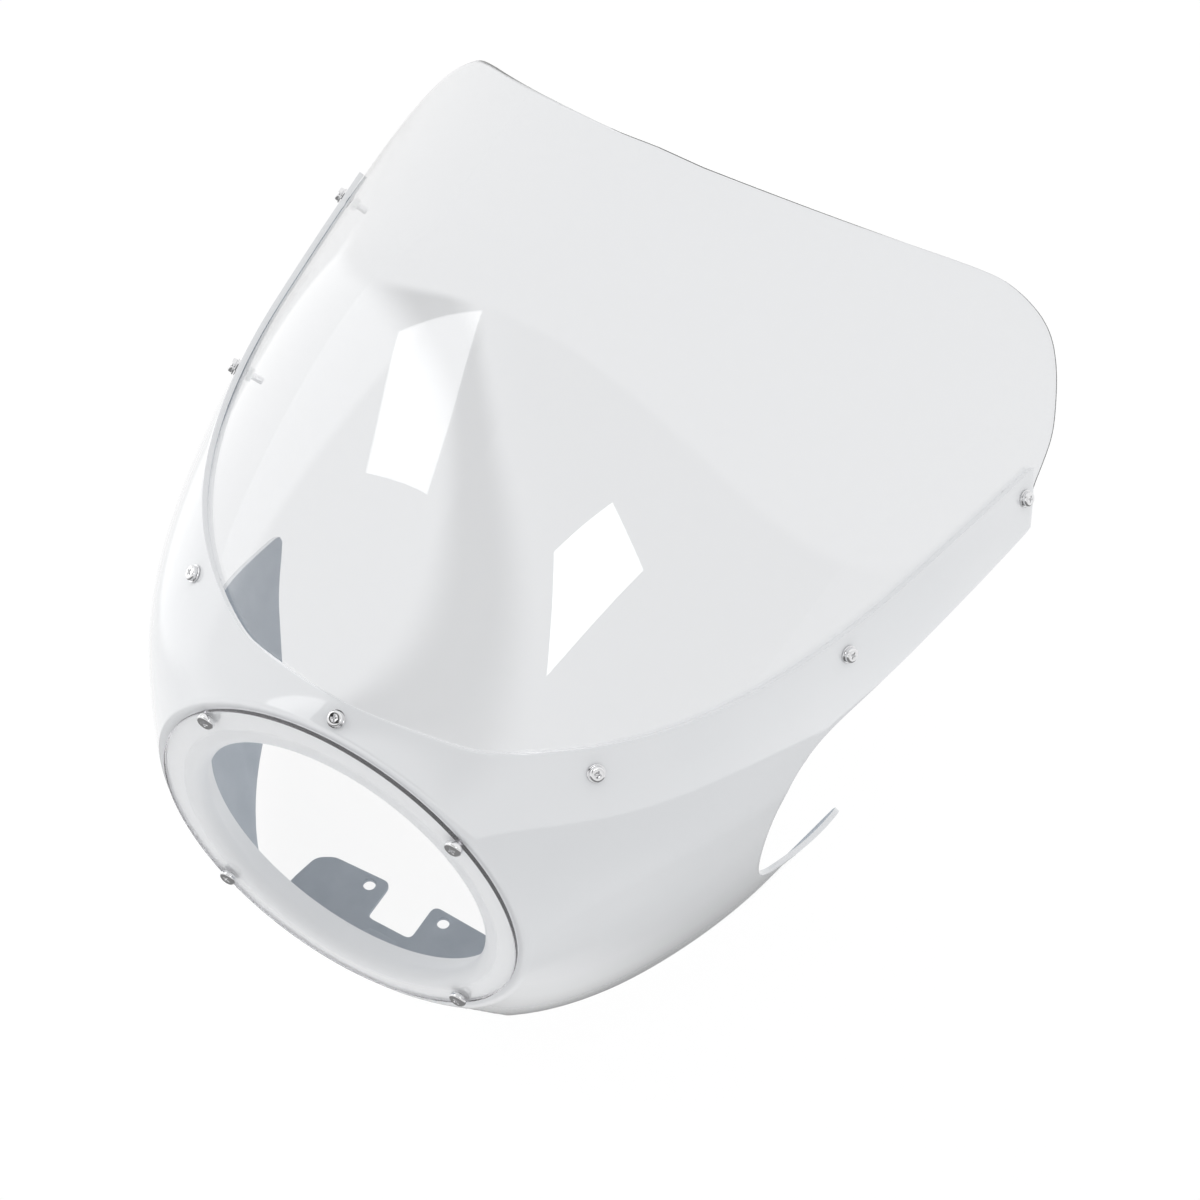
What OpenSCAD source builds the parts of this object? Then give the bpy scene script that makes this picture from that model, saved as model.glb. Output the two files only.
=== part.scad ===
// Headlight cowl for a naked motorbike: a white moulded shell with a round lamp
// opening, a flat clear cover over the opening, a clear domed windscreen and
// the screws, washers and nuts that hold them.
// Units are millimetres. Front is -Y, up is +Z, the bike's left is -X.
// Sizes are measured from the centre of the clear cover's front face; the
// drawn piece has its origin between the two tab holes, where it bolts on.

/* [Which piece] */
// Name of the piece to draw, or all

/* [Clear front cover] */
// Diameter of the flat clear cover
cover_d = 212; // [190:1:230]
// Thickness of the clear cover
cover_t = 2.4; // [1.5:0.1:4]
// Gap between the cover and the flange behind it
cover_gap = 0.2; // [0.1:0.05:0.5]
// Distance of the cover's screws from its rim
cover_screw_in = 4.4; // [4:0.1:12]

/* [Moulded shell] */
// Wall thickness of the shell
wall = 3; // [2:0.1:4]
// How far the shell stands out round the cover's rim
rim_out = 2; // [1:0.1:5]
// How fast the sides swell out behind the ring
side_swell = 56.5; // [40:0.5:70]
// Length over which the sides swell
side_len = 73; // [50:1:110]
// How much the sides keep widening for each millimetre of length
side_slope = 0.218; // [0.1:0.005:0.3]
// How far the cheeks hang below the ring when fully grown
cheek_drop = 185; // [150:1:200]
// Height of the widest line above the ring's centre near the front
waist_rise = 60; // [40:1:70]
// Length of the shell from the cover to the end of its arms
arm_end = 353; // [350:1:365]
// How far the upper edge stands above the ring at the front
rail_rise = 3.8; // [1:0.2:8]
// How much the upper edge falls for each millimetre of length
rail_fall = 0.084; // [0.05:0.002:0.12]
// Height of the arms' lower edge
arm_low_z = 55.5; // [45:0.5:65]
// Depth behind the cover of the deepest point of the fork notch
notch_y = 124; // [110:1:150]
// Depth behind the cover of the lower rear corners
lobe_y = 211; // [190:1:230]
// Height of the lower rear corners
lobe_z = -80; // [-88:0.5:-72]
// Depth of the chin's rear edge behind the cover
chin_y = 38; // [32:0.5:42]
// How far the cheeks' lower edge lies below the ring
low_edge_drop = 33; // [26:0.5:40]

/* [Lamp opening] */
// Width of the turned-in front, from the cover's rim to the opening
flange_w = 19.6; // [15:0.2:26]
// How much wider the opening is at its rear edge, in radius
hole_flare = 2.2; // [0:0.1:5]
// How far the opening's centre sits below the cover's centre
hole_low = 3; // [0:0.5:6]
// Depth of the funnel behind the cover's front face
funnel_y = 18.7; // [12:0.1:30]
// Radius of the rounded front lip
lip_r = 7; // [3:0.5:9]

/* [Mounting tabs] */
// Distance between the two tab holes
tab_spacing = 48; // [40:1:60]
// Depth of the tab holes behind the cover
tab_y = 60.2; // [50:0.2:75]
// How far the tab plate's upper face lies below the ring
tab_drop = 13.9; // [12:0.1:15]
// Diameter of the tab holes
tab_hole_d = 7; // [5.5:0.5:9]
// Width of the gap between the two tabs
tab_gap = 28; // [20:1:34]
// Outer width of the tab plate
tab_plate_w = 118; // [100:1:124]

/* [Windscreen] */
// Thickness of the clear screen
screen_t = 2.5; // [2:0.1:4]
// Gap between the shell's inside and the screen
screen_gap = 0.3; // [0.2:0.05:0.6]
// Height the dome rises above the ring
dome_rise = 135.9; // [110:1:160]
// Length over which the dome rises
dome_len = 235.5; // [200:1:280]
// How far the screen reaches below the shell's upper edge
screen_tuck = 21; // [16:0.5:26]
// Depth of the screen's rear corners behind the cover
screen_end = 409; // [380:1:430]

/* [Fasteners] */
// Depths of the side screws behind the cover
screw_ys = [56.8, 190.5, 338.5];
// How far the side screws sit below the shell's upper edge
screw_drop = 10.2; // [8:0.2:14]
// Depth of the middle front screw behind the cover
nose_screw_y = 10; // [9:0.2:12]
// Radial clearance round each shank
hole_clear = 0.35; // [0.2:0.05:0.6]
// Shank radius of the screen's screws
shank_r = 2; // [1.6:0.1:2.6]
// Head radius of the screen's screws
head_r = 4; // [3.2:0.05:4.4]
// Head height of the screen's screws
head_h = 2.6; // [2:0.1:3.2]
// Length of the screen's screws below the head
shank_l = 17; // [13:1:20]
// Washer radius
washer_r = 4.7; // [4.5:0.1:6.5]
// Washer thickness
washer_t = 0.8; // [0.6:0.1:1.4]
// Size of the screen's nuts across their flats
nut_af = 7; // [6:0.5:8]
// Thickness of the screen's nuts
nut_t = 3.2; // [2.6:0.1:4]
// Shank radius of the cover's screws
cover_shank_r = 2.4; // [1.8:0.1:2.8]
// Head radius of the cover's screws
cover_head_r = 4.75; // [4:0.05:5]
// Head height of the cover's screws
cover_head_h = 3; // [2.2:0.1:3.6]
// Length of the cover's screws below the head
cover_shank_l = 16; // [13:1:20]
// Size of the cover's nuts across their flats
cover_nut_af = 8; // [7:0.5:9]
// Thickness of the cover's nuts
cover_nut_t = 4.2; // [3:0.1:5]

/* [Hidden] */
$fn = 64;
ring_r = cover_d / 2 + rim_out;
rail_front_z = ring_r + rail_rise;
low_edge_z = -ring_r - low_edge_drop;
tab_z = -ring_r - tab_drop;
hole_r = cover_d / 2 - flange_w;
hole_back_r = hole_r + hole_flare;
flange_y = cover_t + cover_gap;
flange_t = 2.8;
cover_screw_r = cover_d / 2 - cover_screw_in;
seat = 0.25;
nut_seat = 0.7;

// One smooth law for the outside of the whole cowl. At each depth y the outline
// is an oval round the waist height, flatter below and peaked above.
function rise(y, l) = 1 - exp(-max(y, 0) / l);
function half_w(y) = ring_r + side_swell * rise(y, side_len) + side_slope * y;
function top_z(y) = ring_r + dome_rise * sin(90 * min(1, pow(max(y, 0) / dome_len, 1.192)));
function waist(y) = waist_rise * rise(y, 35) - 0.209 * y;
function power(y) = 2 - 0.337 * rise(y, 30);
function past(y, a) = (y - a + sqrt(pow(y - a, 2) + 400)) / 2;
function belly(y) = ring_r + cheek_drop * rise(y, 44) - 1.15 * (past(y, 148) - past(0, 148));
function floor_z(y) = -ring_r - 1.5 - 15.4 * rise(y, 14);
function chin(y) = -50 - 0.4 * min(y, 38);
function oval(a, y) = let (c = sqrt(pow(cos(a), 2) + 0.0025), s = abs(sin(a)))
    a >= 0 ? pow(pow(c / half_w(y), power(y)) + pow(s / (top_z(y) - waist(y)), power(y)), -1 / power(y))
           : pow(pow(c / half_w(y), 2) + pow(s / belly(y), 2), -0.5);
function reach(a, y) = a >= chin(y) ? oval(a, y)
    : let (f = waist(y) - floor_z(y), w = (a + 90) / (chin(y) + 90))
      f + (oval(chin(y), y) - f) * pow(w, 1.5);
// Angles run from -90 under the chin over the top at 90 and back to 270.
function skin(a, y) = let (b = a > 90 ? 180 - a : a, r = reach(b < -90 ? -180 - b : b, y))
    [(a > 90 ? -1 : 1) * r * cos(b), y, waist(y) + r * sin(b)];
function unit(v) = v / norm(v);
function facing(a, y) = unit(cross(skin(a, y + 0.5) - skin(a, y - 0.5), skin(a + 0.5, y) - skin(a - 0.5, y)));
function inset(a, y, d) = skin(a, y) - d * (facing(a, y) * skin(a, y) < 0 ? -1 : 1) * facing(a, y);

// Upper edge of the shell in side view, and the angle of a point on the skin
function rail_z(y) = rail_front_z - rail_fall * y;
function angle_at(y, z, lo = 0, hi = 89, n = 22) = n == 0 ? (lo + hi) / 2
    : let (m = (lo + hi) / 2) skin(m, y)[2] > z ? angle_at(y, z, lo, m, n - 1) : angle_at(y, z, m, hi, n - 1);

// The skin is drawn in cells: depths along the cowl, angles round it. The
// angles lie closer together at the ridge and at the widest line.
depths = concat([-1, 0], [for (i = [1 : 9]) chin_y * pow(i / 9, 1.4)],
                [for (i = [1 : 16]) chin_y + (screen_end + 5 - chin_y) * pow(i / 16, 1.2)]);
angles = [for (j = [0 : 55]) let (u = j / 14 - 1) 90 * u - 8.6 * sin(360 * u)];
function low_angle(j) = let (a = j < 55 ? angles[j + 1] : 270) a > 90 ? 180 - a : angles[j];
function high_angle(j) = angles[j] >= 90 ? 180 - angles[j] : j < 55 ? angles[j + 1] : 270;

// A sheet of the skin between two distances below the surface, built from the
// cells that the keep list marks. It closes round the chin.
module sheet(d0, d1, keep) {
    na = len(angles); ny = len(depths);
    pts = [for (d = [d0, d1]) for (y = depths) for (a = angles) inset(a, y, d)];
    function v(k, i, j) = k * na * ny + i * na + j % na;
    function on(i, j) = i >= 0 && i < ny - 1 && keep[i][(j + na) % na];
    faces = [for (i = [0 : ny - 2]) for (j = [0 : na - 1]) if (on(i, j)) each concat(
        [[v(0, i, j), v(0, i, j + 1), v(0, i + 1, j + 1)], [v(0, i, j), v(0, i + 1, j + 1), v(0, i + 1, j)],
         [v(1, i, j), v(1, i + 1, j + 1), v(1, i, j + 1)], [v(1, i, j), v(1, i + 1, j), v(1, i + 1, j + 1)]],
        on(i - 1, j) ? [] : [[v(0, i, j), v(1, i, j + 1), v(0, i, j + 1)], [v(0, i, j), v(1, i, j), v(1, i, j + 1)]],
        on(i + 1, j) ? [] : [[v(0, i + 1, j), v(0, i + 1, j + 1), v(1, i + 1, j + 1)],
                             [v(0, i + 1, j), v(1, i + 1, j + 1), v(1, i + 1, j)]],
        on(i, j - 1) ? [] : [[v(0, i, j), v(0, i + 1, j), v(1, i + 1, j)], [v(0, i, j), v(1, i + 1, j), v(1, i, j)]],
        on(i, j + 1) ? [] : [[v(0, i, j + 1), v(1, i + 1, j + 1), v(0, i + 1, j + 1)],
                             [v(0, i, j + 1), v(1, i, j + 1), v(1, i + 1, j + 1)]])];
    polyhedron(pts, faces, convexity = 8);
}

// Cuts right across the cowl with a side view outline of [y, z] points.
module across(w = 300) {
    multmatrix([[0, 0, 1, 0], [1, 0, 0, 0], [0, 1, 0, 0], [0, 0, 0, 1]])
        translate([0, 0, -w]) linear_extrude(2 * w, convexity = 8) children();
}
module rounded(r) { offset(r, $fn = 24) offset(-2 * r, $fn = 24) offset(r, $fn = 24) children(); }

// Place a fastener on the skin, its +Z along the outward normal.
module on_skin(a, y) {
    n = unit(facing(a, y)) * (facing(a, y) * skin(a, y) < 0 ? -1 : 1);
    translate(skin(a, y)) rotate([0, acos(n[2]), atan2(n[1], n[0])]) children();
}
module at_screen_screws() {
    on_skin(90, nose_screw_y) children();
    for (y = screw_ys) {
        a = angle_at(y, rail_z(y) - screw_drop);
        on_skin(a, y) children();
        on_skin(180 - a, y) children();
    }
}
module at_cover_screws() {
    for (a = [45 : 90 : 315]) rotate([90, 0, 0]) rotate(a) translate([cover_screw_r, 0, 0]) rotate(-a) children();
}

// Side view of the moulded shell: rail, arm, fork notch, lower lobe, cheek.
module shell_outline() {
    rounded(2.5) difference() {
        polygon([[flange_y, low_edge_z - 30], [chin_y - 1.5, low_edge_z - 30], [chin_y - 1.5, low_edge_z + 1],
                 [60, low_edge_z], [lobe_y - 65, low_edge_z - 0.5], [lobe_y - 54, low_edge_z + 3.5],
                 [lobe_y - 48, low_edge_z + 9], [lobe_y - 36, lobe_z - 38], [lobe_y - 26, lobe_z - 25.5],
                 [lobe_y - 17, lobe_z - 17], [lobe_y - 7, lobe_z - 9], [lobe_y, lobe_z - 3],
                 [lobe_y + 19, -20], [arm_end - 17, arm_low_z - 30],
                 [arm_end - 17, arm_low_z + 1], [arm_end, rail_z(arm_end)],
                 [40, rail_z(40)], [32, rail_z(32) + 0.4], [26, ring_r + 4.2], [18, ring_r + 9.2],
                 [8, ring_r + 23], [flange_y, ring_r + 23]]);
        polygon([[arm_end + 77, lobe_z - 60], [lobe_y + 20, lobe_z - 5], [lobe_y, lobe_z],
                 [lobe_y - 14, lobe_z + 4.5], [lobe_y - 30, lobe_z + 10], [lobe_y - 48, lobe_z + 17], [lobe_y - 62, lobe_z + 22],
                 [lobe_y - 71, lobe_z + 25], [notch_y + 9.5, lobe_z + 30], [notch_y + 4.5, lobe_z + 40],
                 [notch_y + 1.3, -26], [notch_y, -9], [notch_y + 1, 8], [notch_y + 4.5, 23],
                 [notch_y + 11, arm_low_z - 19.5], [notch_y + 19, arm_low_z - 11.5], [notch_y + 29, arm_low_z - 6],
                 [notch_y + 42, arm_low_z - 2.5], [notch_y + 61, arm_low_z - 0.9], [notch_y + 116, arm_low_z],
                 [arm_end + 77, arm_low_z]]);
    }
}
// Plan of the tab plate under the lamp
module tab_outline() {
    rounded(4) difference() {
        polygon([for (s = [1, -1]) each [for (k = [0 : 4])
            let (p = [[tab_plate_w / 2 + 3.5, chin_y - 16], [tab_plate_w / 2 + 3.5, tab_y - 18.2],
                      [tab_plate_w / 2, tab_y], [tab_plate_w / 2 - 9, tab_y + 5.4],
                      [tab_spacing / 2, tab_y + 6.9]][s > 0 ? k : 4 - k]) [s * p[0], p[1]]]]);
        translate([-tab_gap / 2, tab_y - 17.9]) square([tab_gap, 40]);
    }
}

// The white shell: swelling sides, cheeks and chin, arms beside the screen, the
// flat flange and funnel of the lamp opening, and the two mounting tabs.
module fairing_shell() color([0.93, 0.94, 0.95]) {
    keep = [for (i = [0 : len(depths) - 2]) [for (j = [0 : 55])
        let (y = depths[i], lo = low_angle(j), z = skin(lo, y)[2], z1 = skin(high_angle(j), y)[2])
        y < arm_end + 12 && (y < 18 || z < rail_z(y) + 1)
        && (y < chin_y - 0.1 || (lo > -66 && z1 > low_edge_z - 3)) && (y < lobe_y + 1 || z1 > 30)]];
    difference() {
        union() {
            resize([0, 0, 0]) intersection() {
                sheet(0, wall, keep);
                across() shell_outline();
            }
            difference() {
                rotate([90, 0, 0]) translate([0, 0, -flange_y - flange_t]) linear_extrude(flange_t)
                    polygon([for (a = angles) let (p = inset(a, flange_y, 0.5)) [p[0], p[2]]]);
                translate([0, 0, -hole_low]) rotate([-90, 0, 0]) cylinder(r = hole_r + lip_r + 1, h = 40, center = true);
            }
            translate([0, 0, -hole_low]) rotate([-90, 0, 0]) rotate_extrude($fn = 96) polygon(concat(
                [[hole_r + lip_r + 3, flange_y]],
                [for (t = [0 : 15 : 90]) [hole_r + lip_r - lip_r * sin(t), flange_y + lip_r - lip_r * cos(t)]],
                [[hole_back_r, funnel_y], [hole_back_r + flange_t, funnel_y]],
                [for (t = [90 : -15 : 0]) [hole_r + lip_r - (lip_r - flange_t) * sin(t),
                                           flange_y + lip_r - (lip_r - flange_t) * cos(t)]],
                [[hole_r + lip_r + 3, flange_y + flange_t]]));
            translate([0, 0, tab_z - wall]) linear_extrude(wall) tab_outline();
        }
        at_cover_screws() cylinder(r = cover_shank_r + hole_clear, h = 30, center = true);
        at_screen_screws() cylinder(r = shank_r + hole_clear, h = 24, center = true);
        for (s = [-1, 1]) translate([s * tab_spacing / 2, tab_y, tab_z - wall - 2])
            cylinder(d = tab_hole_d, h = wall + 4);
    }
}

// The clear domed screen, tucked inside the shell's upper edge.
module windscreen() color([0.85, 0.9, 0.93, 0.35]) {
    d0 = wall + screen_gap;
    corner_z = rail_z(screen_end - 64) - screen_tuck;
    keep = [for (i = [0 : len(depths) - 2]) [for (j = [0 : 55])
        let (y = depths[i], z = skin(high_angle(j), y)[2], z0 = skin(low_angle(j), depths[i + 1])[2])
        depths[i + 1] > 6 && z > rail_z(y) - screen_tuck - 6 && y + z0 < screen_end + corner_z + 101]];
    difference() {
        resize([0, 0, 0]) intersection() {
            sheet(d0, d0 + screen_t, keep);
            across() rounded(9) polygon(concat([[6.2, rail_z(6) - screen_tuck]],
                [for (p = [[-64, 0], [-60, 8.2], [-47, 14.2], [-31, 22.2], [-19, 34.2], [-8, 46.2], [0, 59.2],
                           [1, 71.2], [-3, 85.2], [-11, 99.2], [-57, 142.2], [-97, 181.2], [-139, 230]])
                    [screen_end + p[0], corner_z + p[1]]],
                [[6.2, corner_z + 230]]));
        }
        at_screen_screws() cylinder(r = shank_r + hole_clear, h = 24, center = true);
    }
}

// The flat clear cover in front of the lamp opening
module lens_cover() color([0.85, 0.88, 0.95, 0.35]) {
    difference() {
        rotate([-90, 0, 0]) cylinder(d = cover_d, h = cover_t, $fn = 128);
        at_cover_screws() cylinder(r = cover_shank_r + hole_clear, h = 30, center = true);
    }
}

// A pan head screw with a cross slot; z = 0 is the underside of its head.
module pan_screw(hr, hh, sr, sl) {
    difference() {
        union() {
            rotate_extrude() polygon([[0, 0], [hr, 0], [hr, 0.55 * hh], [0.9 * hr, 0.78 * hh],
                                      [0.7 * hr, 0.92 * hh], [0.4 * hr, hh], [0, hh]]);
            translate([0, 0, -sl]) cylinder(r = sr, h = sl + 0.5);
        }
        for (a = [0, 90]) rotate(a) translate([-0.55 * hr, -0.11 * hr, 0.45 * hh]) cube([1.1 * hr, 0.22 * hr, hh]);
        translate([0, 0, 0.35 * hh]) cylinder(r1 = 0.13 * hr, r2 = 0.28 * hr, h = 0.7 * hh);
    }
}
module flat_ring(r, hole, t) {
    difference() {
        cylinder(r = r, h = t);
        translate([0, 0, -1]) cylinder(r = hole, h = t + 2);
    }
}
module hex_nut(af, t, sr) {
    difference() {
        intersection() {
            cylinder(r = af / sqrt(3), h = t, $fn = 6);
            cylinder(r1 = af / sqrt(3), r2 = af / 2, h = t * 1.9);
        }
        translate([0, 0, -1]) cylinder(r = sr + 0.05, h = t + 2);
    }
}

// Seven screws that hold the windscreen to the shell
module screen_screws() color([0.8, 0.8, 0.82])
    at_screen_screws() translate([0, 0, seat + washer_t + 0.05]) pan_screw(head_r, head_h, shank_r, shank_l);
// The flat washers under their heads
module screen_washers() color([0.75, 0.75, 0.77])
    at_screen_screws() translate([0, 0, seat]) flat_ring(washer_r, shank_r + hole_clear, washer_t);
// The white nylon nuts inside the screen
module screen_nuts() color([0.92, 0.92, 0.9])
    at_screen_screws() translate([0, 0, -wall - screen_gap - screen_t - nut_seat]) mirror([0, 0, 1])
        hex_nut(nut_af, nut_t, shank_r);
// Four screws that hold the clear cover
module lens_screws() color([0.8, 0.8, 0.82])
    at_cover_screws() translate([0, 0, 0.1]) pan_screw(cover_head_r, cover_head_h, cover_shank_r, cover_shank_l);
// Their nuts, behind the flange
module lens_nuts() color([0.92, 0.92, 0.9])
    at_cover_screws() translate([0, 0, -flange_y - flange_t - 0.1]) mirror([0, 0, 1])
        hex_nut(cover_nut_af, cover_nut_t, cover_shank_r);

// The stored frame has its origin midway between the two tab holes, on the
// tabs' upper face.
module placed() { translate([0, -tab_y, -tab_z]) children(); }

placed() fairing_shell();
placed() windscreen();
placed() lens_cover();
placed() screen_screws();
placed() screen_washers();
placed() screen_nuts();
placed() lens_screws();
placed() lens_nuts();
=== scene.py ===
import bpy
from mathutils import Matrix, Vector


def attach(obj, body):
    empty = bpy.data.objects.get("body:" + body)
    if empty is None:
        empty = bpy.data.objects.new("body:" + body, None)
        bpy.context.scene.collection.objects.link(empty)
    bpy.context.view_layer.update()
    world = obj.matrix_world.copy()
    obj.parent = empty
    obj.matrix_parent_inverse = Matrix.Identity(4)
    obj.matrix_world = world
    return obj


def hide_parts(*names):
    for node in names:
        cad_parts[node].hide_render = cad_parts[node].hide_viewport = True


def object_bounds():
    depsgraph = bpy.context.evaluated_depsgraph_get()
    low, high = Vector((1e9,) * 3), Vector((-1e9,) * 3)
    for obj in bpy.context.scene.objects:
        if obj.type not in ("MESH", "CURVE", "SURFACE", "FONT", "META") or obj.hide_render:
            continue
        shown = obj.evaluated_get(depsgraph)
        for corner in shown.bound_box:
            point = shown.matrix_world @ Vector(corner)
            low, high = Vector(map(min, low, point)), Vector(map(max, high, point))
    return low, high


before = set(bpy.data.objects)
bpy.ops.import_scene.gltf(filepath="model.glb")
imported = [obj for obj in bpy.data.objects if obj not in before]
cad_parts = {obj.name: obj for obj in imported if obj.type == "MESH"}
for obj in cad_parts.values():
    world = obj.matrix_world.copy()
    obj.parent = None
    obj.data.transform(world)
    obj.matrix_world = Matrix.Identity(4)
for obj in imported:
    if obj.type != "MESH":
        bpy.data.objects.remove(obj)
cad_box = [list(v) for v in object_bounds()]

import bpy
import math
import numpy as np
from mathutils import Matrix, Vector

# The camera.
# It looks down on the cowl's front left quarter from above, with the long lens
# of a product photograph.
camera_place = (0.4924, -0.6991, 1.3820)
camera_turn = ((0.8638, -0.4114, 0.2908), (0.5033, 0.6777, -0.5361), (0.0234, 0.6094, 0.7925))
lens_length, sensor_width, near_limit, far_limit = 88.08, 36, 0.05, 60
bpy.ops.object.select_all(action="DESELECT")
bpy.ops.object.camera_add(location=camera_place)
camera = bpy.context.object
camera.name = "camera"
camera.data.lens, camera.data.sensor_width = lens_length, sensor_width
camera.data.clip_start, camera.data.clip_end = near_limit, far_limit
camera.matrix_world = Matrix.Translation(camera_place) @ Matrix(camera_turn).to_4x4()
bpy.context.scene.camera = camera
bpy.context.scene.view_settings.view_transform = "Standard"


# The floor, the backdrop and the studio lamps.
# A pale sweep stands under and behind the cowl, white to the camera and in
# clear plastic, and keeps the cowl's soft shadow. Soft lamps hang above it.
class Wire:
    """A socket that can be used in sums. Numbers and other sockets join through Math nodes."""

    def __init__(self, sheet, socket):
        self.sheet, self.socket = sheet, socket

    def join(self, way, *others):
        return self.sheet.add("ShaderNodeMath", {"operation": way}, dict(enumerate((self, *others))))

    def __add__(self, other): return self.join("ADD", other)
    def __sub__(self, other): return self.join("SUBTRACT", other)
    def __rsub__(self, other): return self.sheet.add("ShaderNodeMath", {"operation": "SUBTRACT"}, {0: other, 1: self})
    def __mul__(self, other): return self.join("MULTIPLY", other)
    __radd__, __rmul__ = __add__, __mul__


class Sheet:
    """The node sheet of one material, lamp or world."""

    def __init__(self, owner):
        owner.use_nodes = True
        self.tree = owner.node_tree
        self.tree.nodes.clear()

    def add(self, kind, settings=(), sockets=(), out=0):
        node = self.tree.nodes.new(kind)
        for name, value in dict(settings).items():
            if name == "stops":
                ramp = node.color_ramp
                while len(ramp.elements) < len(value):
                    ramp.elements.new(0.5)
                for stop, (place, colour) in zip(ramp.elements, value):
                    stop.position, stop.color = place, (*colour, 1)
            else:
                setattr(node, name, value)
        for name, value in dict(sockets).items():
            if isinstance(value, Wire):
                self.tree.links.new(value.socket, node.inputs[name])
            else:
                node.inputs[name].default_value = value
        return Wire(self, node.outputs[out]) if node.outputs else None

    def ease(self, value, start, stop, low=0.0, high=1.0):
        """A smooth step from low to high while the value goes from start to stop."""
        return self.add("ShaderNodeMapRange", {"interpolation_type": "SMOOTHSTEP"}, {
            "Value": value, "From Min": start, "From Max": stop, "To Min": low, "To Max": high})

    def rays(self):
        """Which ray asks: one from the camera, a reflected one, or one through clear plastic."""
        return [self.add("ShaderNodeLightPath", out=f"Is {kind} Ray") for kind in ("Camera", "Glossy", "Transmission")]

    def either(self, a, b):
        return self.add("ShaderNodeMath", {"operation": "ADD", "use_clamp": True}, {0: a, 1: b})


def put(piece, *finishes):
    piece.data.materials.clear()
    for finish in finishes:
        piece.data.materials.append(finish)


white_to_eye, white_share, paper_tone = 1.04, 0.88, 0.90
floor_size, floor_gap = 12, 0.012
sweep_finish = bpy.data.materials.new("studio_sweep")
s = Sheet(sweep_finish)
eye, shine, through = s.rays()
seen = s.either(eye + shine, through)
paper = s.add("ShaderNodeBsdfDiffuse", {}, {"Color": (paper_tone, paper_tone, paper_tone, 1)})
glow = s.add("ShaderNodeEmission", {}, {"Color": (1, 1, 1, 1), "Strength": white_to_eye})
s.add("ShaderNodeOutputMaterial", {}, {
    "Surface": s.add("ShaderNodeMixShader", {}, {0: seen * white_share, 1: paper, 2: glow})})

floor_z = cad_box[0][2] - floor_gap
bpy.ops.object.select_all(action="DESELECT")
bpy.ops.mesh.primitive_plane_add(size=floor_size, location=(0, 0, floor_z))
floor = bpy.context.object
floor.name = "floor"
bpy.ops.object.transform_apply(location=True)
put(floor, sweep_finish)
floor.visible_glossy = False

world = bpy.data.worlds.new("studio")
bpy.context.scene.world = world
s = Sheet(world)
eye, shine, through = s.rays()
look = s.add("ShaderNodeTexCoord", out="Generated")


def towards(normal):
    """How far the direction leans to the given one, from -1 to 1."""
    return s.add("ShaderNodeVectorMath", {"operation": "DOT_PRODUCT"}, {0: look, 1: normal}, out="Value")


def beyond(normal, start, stop):
    """0 to 1 as the direction turns past an edge of the studio, given by a plane through the eye."""
    return s.ease(towards(normal), start, stop)


# What gloss and clear plastic show: the white sweep behind, in front of it a
# dark room that ends at the table's edge and dims higher up, a white card on
# the left, and a dark gap between the two softboxes that stops on the right.
dark_room, high_dim, low_glow, card_white = 0.25, 0.2, 0.35, 1.4
gap_inner, gap_outer = 0.03, 0.15
plain_level, front_dim = 0.80, 0.3
sweep = beyond((0, 0.912, 0.41), 0.29, 0.33)
table_edge = beyond((-0.264, 0.589, 0.764), -0.456, -0.449)
higher = beyond((0.39, 0.50, 0.77), 0.06, 0.60)
left_card = beyond((-0.956, 0.293, -0.025), 0.83, 0.87)
across = towards((0.366, 0.714, 0.598))
dark_gap = s.ease(s.add("ShaderNodeMath", {"operation": "ABSOLUTE"}, {0: across}), gap_inner, gap_outer, 1.0, 0.0)
below = beyond((0, 0, -1), 0.93, 1.0)
room = (1 - higher * high_dim) * (table_edge * (1 - dark_room) + dark_room) + below * low_glow
room = room + (card_white - room) * left_card
room = room * (1 - dark_gap * (1 - beyond((1, 0, 0), 0.35, 0.6)))
studio = room + (1 - room) * sweep
plain = (1 - beyond((0, -1, 0.1), 0.2, 1.0) * front_dim) * plain_level
gloss = s.either(shine, through)
s.add("ShaderNodeOutputWorld", {}, {"Surface": s.add("ShaderNodeBackground", {}, {
    "Color": (1, 1, 1, 1), "Strength": eye + gloss * studio + (1 - eye) * (1 - gloss) * plain})})


def softbox(name, place, along_x, along_y, size, power):
    """A soft lamp that shines along the back of its own two sides."""
    bpy.ops.object.light_add(type="AREA", location=place)
    lamp = bpy.context.object
    lamp.name = name
    lamp.data.shape = "RECTANGLE"
    lamp.data.size, lamp.data.size_y = size
    lamp.data.energy = power
    x = Vector(along_x).normalized()
    z = x.cross(Vector(along_y)).normalized()
    lamp.matrix_world = Matrix.Translation(place) @ Matrix((x, z.cross(x), z)).transposed().to_4x4()
    return lamp


# The screen reflects the first two as the clear four-sided patches beside its
# ridge. The other two only light the cowl, from above and from the floor.
softbox("left_lamp", place=(-1.115, -0.282, 1.036), along_x=(0.998, -0.042, 0.038),
        along_y=(0.052, 0.933, -0.357), size=(0.96, 0.93), power=4)
softbox("right_lamp", place=(0.493, -0.283, 0.814), along_x=(-0.108, 0.332, -0.937),
        along_y=(0.714, 0.681, 0.159), size=(0.369, 0.286), power=0.7)
top_lamp = softbox("top_lamp", place=(0.1, 0.2, 2.4), along_x=(1, 0, 0), along_y=(0, 1, 0), size=(1.8, 1.8), power=4)
bounce_card = softbox("bounce_card", place=(0, 0, floor_z + 0.002), along_x=(1, 0, 0), along_y=(0, -1, 0),
                      size=(1.8, 1.8), power=6)
for lamp in (top_lamp, bounce_card):
    lamp.visible_camera = lamp.visible_glossy = lamp.visible_transmission = False


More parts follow.
